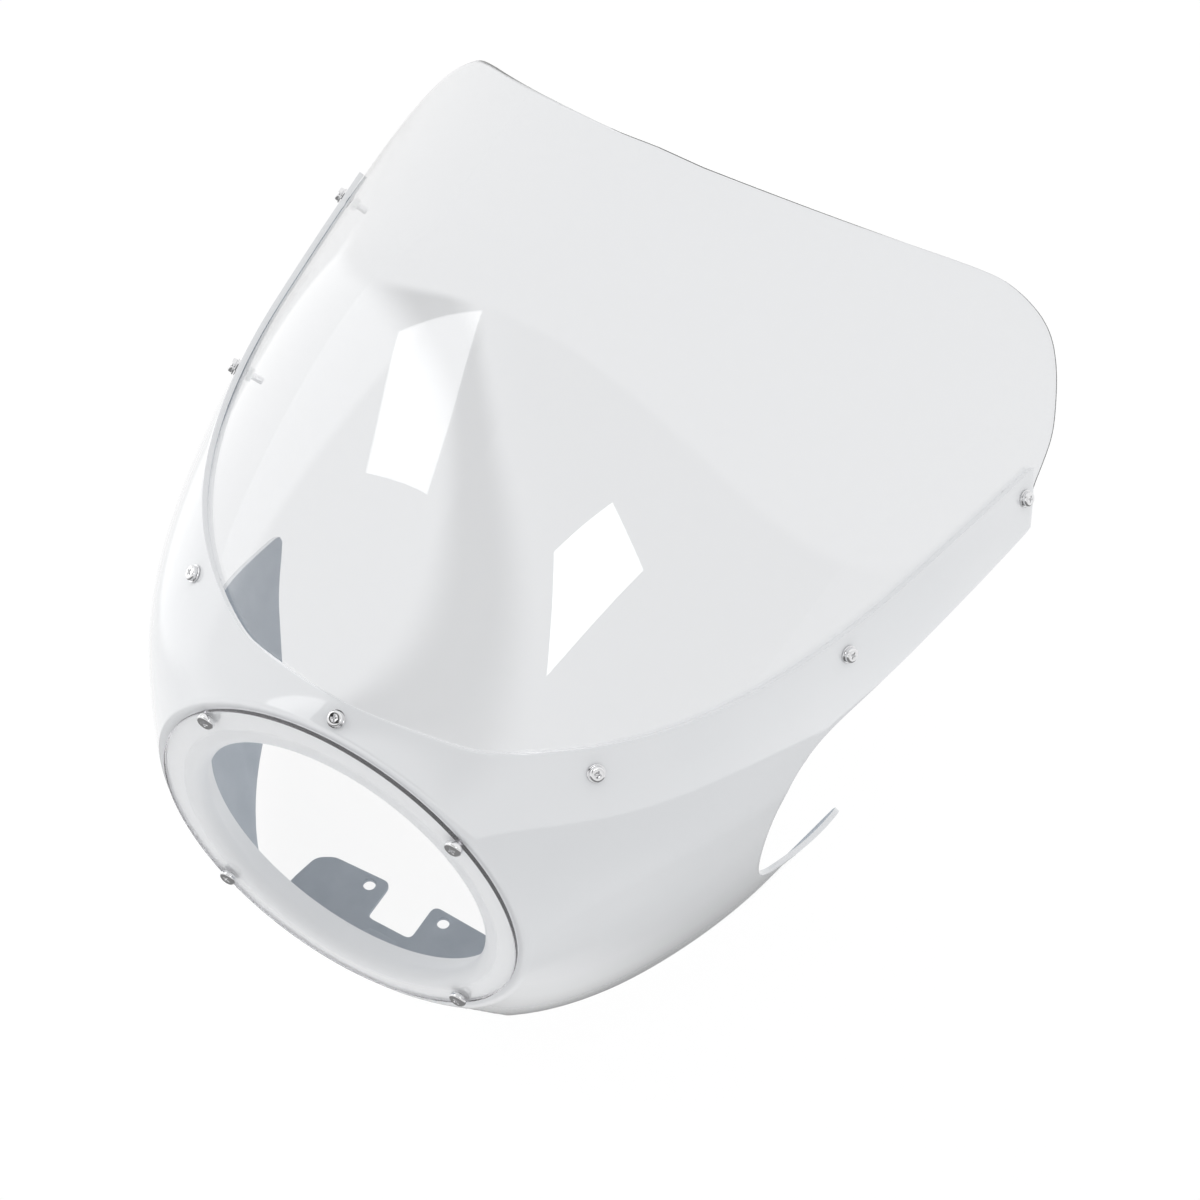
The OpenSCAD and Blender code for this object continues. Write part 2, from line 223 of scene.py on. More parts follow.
# The moulded shell.
# One piece of white glossy plastic. Its sides swell out behind the round lamp
# opening, run back as arms beside the screen and hang down as cheeks, cut out
# for the fork legs. The front turns in to a flat flange and a short funnel.
ring_r, side_swell, side_length, side_slope = 108, 56.5, 73, 0.218
dome_rise, dome_length, dome_bend = 135.9, 235.5, 1.192
waist_rise, waist_length, waist_fall = 60, 35, 0.209
cheek_drop, cheek_length, tuck_y, tuck_slope = 185, 44, 148, 1.15
rail_front, rail_fall = 111.8, 0.084
wall, cover_t, flange_y = 3.0, 2.4, 2.65
rim_r, lip_r, lip_in, lip_low = 2.4, 7.0, 84.5, 6.5
hole_back_r, funnel_y, hole_low = 88.6, 18.7, 3.0
fold_in, fold_reach, fold_end_y, fold_fade_y, fold_from_x, fold_fade_x = 1.6, 20, 130, 60, 62, 25
from_cover = np.array([0, -60.2, 121.9])
halvings, smooth_turn = 44, math.radians(40)


def rise(y, length): return 1 - np.exp(-np.maximum(y, 0) / length)
def half_width(y): return ring_r + side_swell * rise(y, side_length) + side_slope * y


def top_height(y):
    share = np.minimum(1, (np.maximum(y, 0) / dome_length) ** dome_bend)
    return ring_r + dome_rise * np.sin(np.pi / 2 * share)


def waist(y): return waist_rise * rise(y, waist_length) - waist_fall * y
def power(y): return 2 - 0.337 * rise(y, 30)
def past(y, a): return (y - a + np.sqrt((y - a) ** 2 + 400)) / 2
def belly(y): return ring_r + cheek_drop * rise(y, cheek_length) - tuck_slope * (past(y, tuck_y) - past(0, tuck_y))
def floor_height(y): return -ring_r - 1.5 - 15.4 * rise(y, 14)
def chin(y): return -50 - 0.4 * np.minimum(y, 38)


def oval(a, y):
    c = np.sqrt(np.cos(np.radians(a)) ** 2 + 0.0025)
    s = np.abs(np.sin(np.radians(a)))
    p = power(y)
    up = ((c / half_width(y)) ** p + (s / (top_height(y) - waist(y))) ** p) ** (-1 / p)
    down = ((c / half_width(y)) ** 2 + (s / belly(y)) ** 2) ** -0.5
    return np.where(a >= 0, up, down)


def skin(a, y):
    """Points of the cowl's outside, in millimetres from the clear cover's middle, at angles up from the side."""
    a, y = np.broadcast_arrays(np.asarray(a, float), np.asarray(y, float))
    b = np.where(a > 90, 180 - a, np.where(a < -90, -180 - a, a))
    f = waist(y) - floor_height(y)
    w = np.clip((b + 90) / (chin(y) + 90), 0, None)
    r = np.where(b >= chin(y), oval(b, y), f + (oval(chin(y), y) - f) * w ** 1.5)
    side = np.where((a > 90) | (a < -90), -1, 1)
    return np.stack([side * r * np.cos(np.radians(b)), y, waist(y) + r * np.sin(np.radians(b))], -1)


def outward(a, y):
    """The direction square to the skin, away from the cowl's inside."""
    n = np.cross(skin(a, y + 0.4) - skin(a, y - 0.4), skin(a + 0.4, y) - skin(a - 0.4, y))
    n /= np.linalg.norm(n, axis=-1, keepdims=True)
    p = skin(a, y)
    p[..., 1] = 0
    return n * np.where((n * p).sum(-1) < 0, -1, 1)[..., None]


def side_rail(y): return rail_front - rail_fall * y


def rail(y):
    """Height of the shell's upper edge, with its sweep up to the nose."""
    y = np.asarray(y, float)
    nose = np.interp(y, [17.0, 18.6, 20, 22, 24, 26, 28, 30, 33, 36, 40],
                     [117.7, 117.0, 116.3, 115.1, 113.8, 112.4, 111.1, 110.1, 109.3, 108.9, 108.44])
    return np.where(y < 40, nose, side_rail(y))


def solve(f, lo, hi):
    """Where the rising function f crosses zero, for arrays of limits."""
    lo, hi = np.array(lo, float), np.array(hi, float)
    for _ in range(halvings):
        m = (lo + hi) / 2
        low = f(m) < 0
        lo, hi = np.where(low, m, lo), np.where(low, hi, m)
    return (lo + hi) / 2


def angle_at(y, z):
    """The skin's angle where it has height z at depth y."""
    y, z = np.broadcast_arrays(np.asarray(y, float), np.asarray(z, float))
    return solve(lambda a: skin(a, y)[..., 2] - z, np.full(y.shape, -66.0), np.full(y.shape, 90.0))


def along(points, t):
    """Points at the given shares of the way along an open line of [y, z] points."""
    p = np.array(points, float)
    for _ in range(2):
        q = np.empty((2 * len(p), 2))
        q[0], q[-1] = p[0], p[-1]
        q[1:-1:2], q[2:-1:2] = p[:-1] * 0.75 + p[1:] * 0.25, p[:-1] * 0.25 + p[1:] * 0.75
        p = q
    d = np.r_[0, np.cumsum(np.linalg.norm(np.diff(p, axis=0), axis=1))]
    return np.stack([np.interp(np.asarray(t) * d[-1], d, p[:, k]) for k in (0, 1)], -1)


# how many cells the shell's grid has round each stretch and along each part
nose_n, arm_n, notch_n, lobe_n, chin_n = 40, 16, 44, 26, 24
turn_n, front_n, mid_n, rear_n = 26, 26, 44, 90
jn, ja, jb, jc = nose_n, nose_n + arm_n, nose_n + arm_n + notch_n, nose_n + arm_n + notch_n + lobe_n
J = jc + chin_n
i0, i1, i2 = turn_n, turn_n + front_n, turn_n + front_n + mid_n
I = i2 + rear_n

# columns at the front: fixed angles from the ridge to under the chin
rail_y, chin_y = 40.0, 36.5
top_a, low_a = float(angle_at(rail_y, rail(rail_y))), -64.6
column_a = np.concatenate([np.linspace(90, top_a, jn + 1)[:-1], np.linspace(top_a, low_a, jc - jn + 1)[:-1],
                           np.linspace(low_a, -90, J - jc + 1)])
end_y = np.interp(column_a, [-90, low_a, top_a], [chin_y, chin_y, rail_y])
nose_a = column_a[:jn]
end_y[:jn] = solve(lambda y: skin(nose_a, y)[..., 2] - rail(y), np.full(jn, 12.0), np.full(jn, 40.0))

grid_a, grid_y = np.zeros((I + 1, J + 1)), np.zeros((I + 1, J + 1))
for i in range(i0, i1 + 1):
    t = (i - i0) / front_n
    grid_a[i] = column_a
    grid_y[i] = flange_y + rim_r + (end_y - flange_y - rim_r) * t ** 1.3

# the fork notch, the arm above it and the lobe below it, as side view lines
share = np.linspace(0, 1, notch_n + 1)
notch = along([[147, 46.2], [143, 44], [135, 36.5], [128.5, 23], [125, 8], [124, -9], [125.3, -26], [128.5, -40],
               [133.5, -50], [140, -55], [143, -56.4]], share)
arm_low = [[147, 46.2], [153, 49.8], [166, 53.4], [185, 54.8], [240, 55.5], [332, 55.5], [336, 56.3]]
lobe_top = [[143, -56.4], [149, -58], [163, -63], [181, -70], [197, -75.5], [207.5, -78.5], [210, -80.3]]
lobe_low = [[chin_y, -139.4], [46, -140.6], [60, -141], [146, -141.5], [157, -137.5], [163, -132], [175, -118],
            [185, -105.5], [194, -97], [204, -89], [210, -83.6]]
root_low = 0.55
low_share = np.concatenate([np.linspace(0, root_low, mid_n + 1), np.linspace(root_low, 1, rear_n + 1)[1:]])
row_low = along(lobe_low, low_share)
root_top, arm_end = 147, 352.4
row_top = np.concatenate([np.linspace(rail_y, root_top, mid_n + 1), np.linspace(root_top, arm_end, rear_n + 1)[1:]])
row_top_a = angle_at(row_top, rail(row_top))
row_low_a = angle_at(row_low[:, 0], row_low[:, 1])
row_low_a[0] = low_a
arm_f = np.linspace(0, 1, arm_n + 1)
lobe_f = np.linspace(0, 1, lobe_n + 1)
root_a, root_y = np.zeros(J + 1), np.zeros(J + 1)
notch_a = angle_at(notch[:, 0], notch[:, 1])
root_a[ja:jb + 1], root_y[ja:jb + 1] = notch_a, notch[:, 0]
root_a[jn:ja + 1] = row_top_a[mid_n] + (notch_a[0] - row_top_a[mid_n]) * arm_f
root_y[jn:ja + 1] = row_top[mid_n] + (notch[0, 0] - row_top[mid_n]) * arm_f
root_a[jb:jc + 1] = notch_a[-1] + (row_low_a[mid_n] - notch_a[-1]) * lobe_f
root_y[jb:jc + 1] = notch[-1, 0] + (row_low[mid_n, 0] - notch[-1, 0]) * lobe_f
cols = slice(jn, jc + 1)
f0 = (column_a[cols] - low_a) / (top_a - low_a)
f1 = (root_a[cols] - row_low_a[mid_n]) / (row_top_a[mid_n] - row_low_a[mid_n])
for k in range(1, mid_n + 1):
    t = k / mid_n
    blend = t * t * (3 - 2 * t)
    f = f0 + (f1 - f0) * blend
    grid_a[i1 + k, cols] = row_low_a[k] + (row_top_a[k] - row_low_a[k]) * f
    straight = end_y[cols] + (root_y[cols] - end_y[cols]) * t
    lean = row_low[k, 0] + (row_top[k] - row_low[k, 0]) * f0
    ends = straight[-1] + (straight[0] - straight[-1]) * f0
    grid_y[i1 + k, cols] = straight + (lean - ends)
low_line = along(arm_low, np.linspace(0, 1, rear_n + 1))
low_line_a = angle_at(low_line[:, 0], low_line[:, 1])
top_line = along(lobe_top, np.linspace(0, 1, rear_n + 1))
top_line_a = angle_at(top_line[:, 0], top_line[:, 1])
for k in range(1, rear_n + 1):
    t = k / rear_n
    grid_a[i2 + k, jn:ja + 1] = row_top_a[mid_n + k] + (low_line_a[k] - row_top_a[mid_n + k]) * arm_f
    grid_y[i2 + k, jn:ja + 1] = row_top[mid_n + k] + (low_line[k, 0] - row_top[mid_n + k]) * arm_f
    grid_a[i2 + k, jb:jc + 1] = top_line_a[k] + (row_low_a[mid_n + k] - top_line_a[k]) * lobe_f
    grid_y[i2 + k, jb:jc + 1] = top_line[k, 0] + (row_low[mid_n + k, 0] - top_line[k, 0]) * lobe_f

place = skin(grid_a, grid_y)
# the cheeks fold in a little near their lower edge, and less towards the rear and the chin
edge = np.concatenate([place[i1:, jc], place[i1, jc:]])
near = np.sqrt(((place[i0:, jb:, None] - edge) ** 2).sum(-1).min(-1))
fold = fold_in * np.clip(1 - near / fold_reach, 0, 1) * np.clip((fold_end_y - grid_y[i0:, jb:]) / fold_fade_y, 0, 1)
fold *= np.clip((place[i0:, jb:, 0] - fold_from_x) / fold_fade_x, 0, 1)
place[i0:, jb:] -= fold[..., None] * outward(grid_a[i0:, jb:], grid_y[i0:, jb:])
# the turned-in front: a rounded rim, the flat flange, the rounded lip, the funnel
rim = skin(column_a, flange_y)
phi = np.arctan2(rim[:, 2] + hole_low, rim[:, 0])
ray = np.stack([np.cos(phi), 0 * phi, np.sin(phi)], -1)
flat = rim - rim_r * ray
lip = lip_r + lip_in
rim_k, flat_k, lip_k = 6, 11, 20
for i in range(i0 + 1):
    k = i0 - i
    if k <= rim_k:
        t = k / rim_k
        place[i] = (1 - t) ** 2 * skin(column_a, flange_y + rim_r) + 2 * t * (1 - t) * rim + t * t * flat
    elif k <= flat_k:
        t = (k - rim_k) / (flat_k - rim_k)
        place[i] = flat * (1 - t) + (np.array([0, flange_y, -lip_low]) + lip * ray) * t
    elif k <= lip_k:
        t = math.radians(90 * (k - flat_k) / (lip_k - flat_k))
        place[i] = np.array([0, flange_y + lip_r * (1 - math.cos(t)), -lip_low]) + (lip - lip_r * math.sin(t)) * ray
    else:
        t = (k - lip_k) / (turn_n - lip_k)
        centre = np.array([0, flange_y + lip_r + (funnel_y - flange_y - lip_r) * t,
                           -lip_low + (lip_low - hole_low) * t])
        place[i] = centre + (lip_in + (hole_back_r - lip_in) * t) * ray
place[:, 0, 0] = np.where(np.arange(I + 1) <= i1, 0, place[:, 0, 0])
place[:, J, 0] = 0


def fitted_grid(name, place, keep):
    """A flat grid laid over an array of places in millimetres, without the faces that keep leaves out."""
    ni, nj = place.shape[0] - 1, place.shape[1] - 1
    bpy.ops.object.select_all(action="DESELECT")
    bpy.ops.mesh.primitive_grid_add(x_subdivisions=ni, y_subdivisions=nj, size=1, location=(0, 0, 0))
    piece = bpy.context.object
    piece.name = piece.data.name = name
    flat = np.zeros(len(piece.data.vertices) * 3)
    piece.data.vertices.foreach_get("co", flat)
    uv = np.rint((flat.reshape(-1, 3)[:, :2] + 0.5) * (ni, nj)).astype(int)
    piece.data.vertices.foreach_set("co", ((place + from_cover)[uv[:, 0], uv[:, 1]] / 1000).ravel())
    drop = np.zeros(len(piece.data.polygons), bool)
    for p in piece.data.polygons:
        c = uv[list(p.vertices)].min(0)
        drop[p.index] = not keep(c[0], c[1])
    bpy.ops.object.mode_set(mode="EDIT")
    bpy.ops.mesh.select_mode(type="FACE")
    bpy.ops.mesh.select_all(action="DESELECT")
    bpy.ops.object.mode_set(mode="OBJECT")
    piece.data.polygons.foreach_set("select", drop)
    bpy.ops.object.mode_set(mode="EDIT")
    bpy.ops.mesh.delete(type="FACE")
    bpy.ops.object.mode_set(mode="OBJECT")
    return piece


def finish_with(piece, kind, **settings):
    """Adds a modifier with its settings and applies it."""
    bpy.context.view_layer.objects.active = piece
    m = piece.modifiers.new(kind.lower(), kind)
    for name, value in settings.items():
        setattr(m, name, value)
    bpy.ops.object.modifier_apply(modifier=m.name)


def round_edges(piece, width, segments, turn=50, **more):
    """Rounds each edge at which the surface turns by more than the given degrees."""
    finish_with(piece, "BEVEL", width=width, segments=segments, limit_method="ANGLE",
                angle_limit=math.radians(turn), **more)


def in_shell(i, j):
    """Whether a cell belongs to the shell; behind the notch only the arm and the lobe go on."""
    if i < i1:
        return True
    if i < i2:
        return jn <= j < jc
    return jn <= j < ja or jb <= j < jc


def outside_out(piece, towards):
    """Turns every face so that the face nearest the given point looks at it."""
    bpy.ops.object.mode_set(mode="EDIT")
    bpy.ops.mesh.select_all(action="SELECT")
    bpy.ops.mesh.normals_make_consistent(inside=False)
    bpy.ops.object.mode_set(mode="OBJECT")
    near = min(piece.data.polygons, key=lambda p: (p.center - Vector(towards)).length)
    if near.normal.dot(Vector(towards) - near.center) < 0:
        bpy.ops.object.mode_set(mode="EDIT")
        bpy.ops.mesh.select_all(action="SELECT")
        bpy.ops.mesh.flip_normals()
        bpy.ops.object.mode_set(mode="OBJECT")


shell = fitted_grid("moulded_shell", place, in_shell)
finish_with(shell, "MIRROR", use_axis=(True, False, False), use_clip=True, merge_threshold=0.0004)
outside_out(shell, (0.3, -0.02, 0.1))
shell_finish = bpy.data.materials.new("white_gloss")
inside_grey_and_shade = bpy.data.materials.new("grey_inside_with_painted_shade")
put(shell, shell_finish, inside_grey_and_shade)
# the inner faces made by the solidify take the second finish: a darker blue-grey, part the inside's own grey and part
# painted shade
finish_with(shell, "SOLIDIFY", thickness=wall / 1000, offset=-1, use_even_offset=True, use_quality_normals=True,
            material_offset=1, material_offset_rim=0)
round_edges(shell, 0.0011, 3, miter_outer="MITER_ARC")
bpy.ops.object.shade_smooth_by_angle(angle=smooth_turn)

# the opening's lip and funnel are left dull, without the clear coat
opening_axis, dull_inner, dull_outer = (0, 0, 0.1189), 0.0925, 0.0965
s = Sheet(shell_finish)
spot = s.add("ShaderNodeTexCoord", out="Object")
cloud = s.add("ShaderNodeTexNoise", {}, {"Vector": spot, "Scale": 9.0, "Detail": 3.0, "Roughness": 0.5})
peel = s.add("ShaderNodeTexNoise", {}, {"Vector": spot, "Scale": 420.0, "Detail": 1.0})
tint = s.add("ShaderNodeValToRGB", {
    "stops": [(0.35, (0.800, 0.815, 0.835)), (0.65, (0.830, 0.842, 0.860))]}, {0: cloud})
from_axis = s.add("ShaderNodeVectorMath", {"operation": "SUBTRACT"}, {0: spot, 1: opening_axis}, out="Vector")
from_axis = s.add("ShaderNodeVectorMath", {"operation": "MULTIPLY"}, {0: from_axis, 1: (1, 0, 1)}, out="Vector")
reach = s.add("ShaderNodeVectorMath", {"operation": "LENGTH"}, {0: from_axis}, out="Value")
dull = s.ease(reach, dull_inner, dull_outer, 1.0, 0.0)
s.add("ShaderNodeOutputMaterial", {}, {"Surface": s.add("ShaderNodeBsdfPrincipled", {}, {
    "Base Color": tint, "Roughness": cloud * 0.03 + 0.05 + dull * 0.35, "IOR": 1.5, "Coat Weight": 1 - dull,
    "Coat Roughness": 0.02,
    "Normal": s.add("ShaderNodeBump", {}, {"Strength": 0.03, "Distance": 0.0002, "Height": peel})})})
# The inside's base colour is a mottled blue-grey, darker than the white outside: part the inside's own grey, part
# painted shade of the cowl's hollow inside.
s = Sheet(inside_grey_and_shade)
spot = s.add("ShaderNodeTexCoord", out="Object")
mottle = s.add("ShaderNodeTexNoise", {}, {"Vector": spot, "Scale": 60.0, "Detail": 5.0, "Roughness": 0.6})
grit = s.add("ShaderNodeTexNoise", {}, {"Vector": spot, "Scale": 700.0, "Detail": 2.0})
tint = s.add("ShaderNodeValToRGB", {"stops": [(0.3, (0.31, 0.355, 0.41)), (0.7, (0.38, 0.425, 0.48))]}, {0: mottle})
s.add("ShaderNodeOutputMaterial", {}, {"Surface": s.add("ShaderNodeBsdfPrincipled", {}, {
    "Base Color": tint, "Roughness": mottle * 0.2 + 0.42,
    "Normal": s.add("ShaderNodeBump", {}, {"Strength": 0.25, "Distance": 0.0003, "Height": grit + mottle})})})
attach(shell, "root")
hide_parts("fairing_shell")


# The mounting tabs.
# A flat plate of the same plastic, moulded on under the chin, grey on top with the inside's
# colour and its painted shade, and white below, with a gap in its middle and one round bolt hole in each half.
def cut_with(piece, *cutters):
    """Cuts the pieces out of the first one and removes them."""
    for cutter in cutters:
        finish_with(piece, "BOOLEAN", operation="DIFFERENCE", solver="EXACT", object=cutter)
        bpy.data.objects.remove(cutter)


def rounded(points, cuts):
    """A closed outline with each corner replaced by a curve that starts the given length before it."""
    p = np.array(points, float)
    before, after = np.roll(p, 1, 0) - p, np.roll(p, -1, 0) - p
    t = np.linspace(0, 1, 7)[:, None]
    return np.concatenate([q + (u / np.linalg.norm(u) * (1 - t) ** 2 + v / np.linalg.norm(v) * t ** 2) * c
                           for q, u, v, c in zip(p, before, after, cuts)])


tab_z, tab_hole_r, tab_hole_x = -121.9, 0.0035, 0.024
white_below, white_front_y = -0.3, -0.035
half_plate = [(14, 42.3), (14, 67.1), (50, 65.6), (59, 60.2), (62.5, 42), (62.5, 21)]
corner_cut = [4, 5, 3, 4.5, 3, 0.5]
plate = rounded(half_plate + [(-x, y) for x, y in half_plate[::-1]], corner_cut + corner_cut[::-1])
bpy.ops.object.select_all(action="DESELECT")
bpy.ops.mesh.primitive_circle_add(vertices=len(plate), radius=0.05, fill_type="NGON", location=(0, 0, 0))
tabs = bpy.context.object
tabs.name = tabs.data.name = "mounting_tabs"
plate = np.insert(plate, 2, tab_z, axis=1) + from_cover
tabs.data.vertices.foreach_set("co", (plate / 1000).ravel())
finish_with(tabs, "SOLIDIFY", thickness=wall / 1000, offset=1)
holes = []
for side in (-1, 1):
    bpy.ops.mesh.primitive_cylinder_add(vertices=48, radius=tab_hole_r, depth=0.02, location=(side * tab_hole_x, 0, 0))
    holes.append(bpy.context.object)
bpy.ops.object.select_all(action="DESELECT")
cut_with(tabs, *holes)
round_edges(tabs, 0.0008, 3)
put(tabs, inside_grey_and_shade, shell_finish)
# upper faces get the inside's grey with painted shade; faces looking down or forward get the white
for p in tabs.data.polygons:
    p.material_index = 1 if p.normal.z < white_below or p.center.y < white_front_y else 0
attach(tabs, "root")
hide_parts("fairing_shell")


# The windscreen.
# A sheet of clear plastic 2.5 mm thick, blown to a dome with a soft ridge down
# its middle. It is tucked behind the shell's upper edge, and its own free edge
# is cut with a saw and polished round.
screen_front, screen_gap, screen_t, screen_tuck = 6.2, 0.3, 2.5, 21
low_n, up_n = 130, 92
rear = along([[345, 61.8], [349, 70], [362, 76], [378, 84], [390, 96], [401, 108], [409, 121], [410, 133], [406, 147],
              [398, 161], [352, 204], [313, 241.5]], np.linspace(0, 1, up_n + 1))
rear_a = angle_at(rear[:, 0], rear[:, 1])
rear_a[-1] = 90
low_y = screen_front + (rear[0, 0] - screen_front) * np.linspace(0, 1, low_n + 1) ** 1.15
low_edge_a = angle_at(low_y, side_rail(low_y) - screen_tuck)
upward = np.linspace(0, 1, up_n + 1)
rear_f = (rear_a - low_edge_a[-1]) / (90 - low_edge_a[-1])
screen_a, screen_y = np.zeros((low_n + 1, up_n + 1)), np.zeros((low_n + 1, up_n + 1))
for i in range(low_n + 1):
    t = i / low_n
    blend = t * t * (3 - 2 * t)
    f = upward + (rear_f - upward) * blend
    screen_a[i] = low_edge_a[i] + (90 - low_edge_a[i]) * f
    back = (low_y[i] - screen_front) / (low_y[-1] - screen_front)
    screen_y[i] = screen_front + (rear[:, 0] - screen_front) * back
screen_a[:, -1] = 90
screen_place = skin(screen_a, screen_y) - (wall + screen_gap) * outward(screen_a, screen_y)
screen_place[:, -1, 0] = 0
screen = fitted_grid("clear_windscreen", screen_place, lambda i, j: True)
finish_with(screen, "MIRROR", use_axis=(True, False, False), use_clip=True, merge_threshold=0.0004)
outside_out(screen, (0.3, 0.2, 0.4))
finish_with(screen, "SOLIDIFY", thickness=screen_t / 1000, offset=-1, use_even_offset=True, use_quality_normals=True)
round_edges(screen, 0.0007, 2)
bpy.ops.object.shade_smooth_by_angle(angle=smooth_turn)


def clear_sheet(name, tint, ior):
    """Clear polished plastic, which lets the lamps shine through it on to what lies behind."""
    finish = bpy.data.materials.new(name)
    s = Sheet(finish)
    spot = s.add("ShaderNodeTexCoord", out="Object")
    haze = s.add("ShaderNodeTexNoise", {}, {"Vector": spot, "Scale": 14.0, "Detail": 2.0})
    shade = s.add("ShaderNodeLightPath", out="Is Shadow Ray")
    soft = s.add("ShaderNodeLightPath", out="Is Diffuse Ray")
    plastic = s.add("ShaderNodeBsdfPrincipled", {}, {"Base Color": (*tint, 1), "Roughness": haze * 0.012, "IOR": ior,
                                                     "Transmission Weight": 1.0})
    passing = s.add("ShaderNodeBsdfTransparent", {}, {"Color": (0.96, 0.96, 0.96, 1)})
    s.add("ShaderNodeOutputMaterial", {}, {"Surface": s.add("ShaderNodeMixShader", {}, {
        0: shade + soft, 1: plastic, 2: passing})})
    return finish


put(screen, clear_sheet("clear_screen_plastic", (0.785, 0.793, 0.806), 1.8))
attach(screen, "root")
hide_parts("windscreen")


# The clear front cover.
# A flat round disc of clear plastic with a polished rim, held to the flange by
# four screws, which keeps stones off the lamp.
cover_r = 106
bpy.ops.object.select_all(action="DESELECT")
bpy.ops.mesh.primitive_cylinder_add(vertices=192, radius=cover_r / 1000, depth=cover_t / 1000,
                                    rotation=(math.pi / 2, 0, 0),
                                    location=Vector((np.array([0, cover_t / 2, 0]) + from_cover) / 1000))
cover = bpy.context.object
cover.name = cover.data.name = "clear_front_cover"
bpy.ops.object.transform_apply(location=True, rotation=True)
round_edges(cover, 0.0006, 3)
bpy.ops.object.shade_smooth_by_angle(angle=math.radians(12))
cover_finish = clear_sheet("clear_cover_plastic", (1.0, 1.0, 1.0), 1.25)
rim_finish = bpy.data.materials.new("cut_clear_edge")
s = Sheet(rim_finish)
spot = s.add("ShaderNodeTexCoord", out="Object")
saw = s.add("ShaderNodeTexNoise", {}, {"Vector": spot, "Scale": 600.0, "Detail": 2.0})
s.add("ShaderNodeOutputMaterial", {}, {"Surface": s.add("ShaderNodeBsdfPrincipled", {}, {
    "Base Color": (0.75, 0.74, 0.78, 1), "Roughness": saw * 0.2 + 0.1, "IOR": 1.49, "Transmission Weight": 0.85})})
put(cover, cover_finish, rim_finish)
for p in cover.data.polygons:
    p.material_index = 0 if abs(p.normal.y) > 0.99 else 1
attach(cover, "root")
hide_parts("lens_cover")


# The screws.
# Bright plated pan head machine screws with a cross slot: seven through the
# shell's upper edge and the screen, four through the clear cover's rim.
nose_screw_y, side_screw_ys, screw_drop = 10.0, (56.8, 190.5, 338.5), 10.2
cover_screw_r, cover_screw_lift = 101.6, 0.1
screen_shank_r, cover_shank_r, hole_clear, seat, washer_t = 2.0, 2.4, 0.35, 0.25, 0.8


def seat_on_skin(a, y, lift):
    """A place on the skin for a fastener, with its axis square to the skin and raised by lift."""
    n = outward(np.array([a]), np.array([y]))[0]
    p = (skin(a, y) + lift * n + from_cover) / 1000
    return Matrix.Translation(Vector(p)) @ Vector(n).to_track_quat("Z", "Y").to_matrix().to_4x4()


screw_spots = [(90.0, nose_screw_y)]
for y in side_screw_ys:
    a = float(angle_at(y, side_rail(y) - screw_drop))
    screw_spots += [(a, y), (180 - a, y)]
cover_spots = []
for k in range(4):
    b = math.pi / 4 + k * math.pi / 2
    p = np.array([cover_screw_r * math.cos(b), -cover_screw_lift, cover_screw_r * math.sin(b)]) + from_cover
    cover_spots.append(Matrix.Translation(Vector(p / 1000)) @ Matrix.Rotation(math.pi / 2, 4, "X"))


def copies(model, name, spots, turns):
    """One object of a copy of the model at each place, turned by the next of the angles; the model is kept."""
    bpy.ops.object.select_all(action="DESELECT")
    made = []
    for k, spot in enumerate(spots):
        twin = model.copy()
        twin.data = model.data.copy()
        bpy.context.scene.collection.objects.link(twin)
        twin.data.transform(spot @ Matrix.Rotation(math.radians(turns[k % len(turns)]), 4, "Z"))
        twin.select_set(True)
        made.append(twin)
    bpy.context.view_layer.objects.active = made[0]
    bpy.ops.object.join()
    made[0].name = made[0].data.name = name
    return made[0]


def bevel_edges(piece, pick, offset, segments, profile=0.5):
    """Rounds the edges whose two ends the pick function accepts."""
    bpy.context.view_layer.objects.active = piece
    bpy.ops.object.mode_set(mode="EDIT")
    bpy.ops.mesh.select_mode(type="EDGE")
    bpy.ops.mesh.select_all(action="DESELECT")
    bpy.ops.object.mode_set(mode="OBJECT")
    v = piece.data.vertices
    for e in piece.data.edges:
        e.select = bool(pick(v[e.vertices[0]].co, v[e.vertices[1]].co))
    bpy.ops.object.mode_set(mode="EDIT")
    bpy.ops.mesh.bevel(offset=offset, segments=segments, profile=profile, affect="EDGES")
    bpy.ops.object.mode_set(mode="OBJECT")


def pan_screw(head_r, head_h, shank_r, shank_l):
    """A pan head screw with a cross slot, its head's underside at z = 0."""
    bpy.ops.object.select_all(action="DESELECT")
    bpy.ops.mesh.primitive_cylinder_add(vertices=48, radius=head_r / 1000, depth=head_h / 1000,
                                        location=(0, 0, head_h / 2000))
    screw = bpy.context.object
    bpy.ops.object.transform_apply(location=True)
    bevel_edges(screw, lambda a, b: min(a.z, b.z) > head_h / 1000 - 1e-6, 0.00059 * head_h, 7, 0.6)
    bpy.ops.mesh.primitive_cylinder_add(vertices=32, radius=shank_r / 1000, depth=(shank_l + 0.4) / 1000,
                                        location=(0, 0, (0.4 - shank_l) / 2000))
    shank = bpy.context.object
    bpy.ops.object.transform_apply(location=True)
    bevel_edges(shank, lambda a, b: max(a.z, b.z) < -shank_l / 1000 + 1e-6, 0.0005, 2)
    slots = []
    for turn in (0, math.pi / 2):
        bpy.ops.mesh.primitive_cube_add(size=1, location=(0, 0, head_h / 1000), rotation=(0, 0, turn))
        slot = bpy.context.object
        slot.scale = (0.00122 * head_r, 0.00030 * head_r, 0.0015 * head_h)
        bpy.ops.object.transform_apply(location=True, rotation=True, scale=True)
        for v in slot.data.vertices:
            if v.co.z < head_h / 1000:
                v.co.x *= 0.5
                v.co.y *= 0.5
        slots.append(slot)
    cut_with(screw, *slots)
    screw.select_set(True)
    shank.select_set(True)
    bpy.context.view_layer.objects.active = screw
    bpy.ops.object.join()
    round_edges(screw, 0.0001, 2, 40)
    bpy.ops.object.shade_smooth_by_angle(angle=math.radians(35))
    return screw


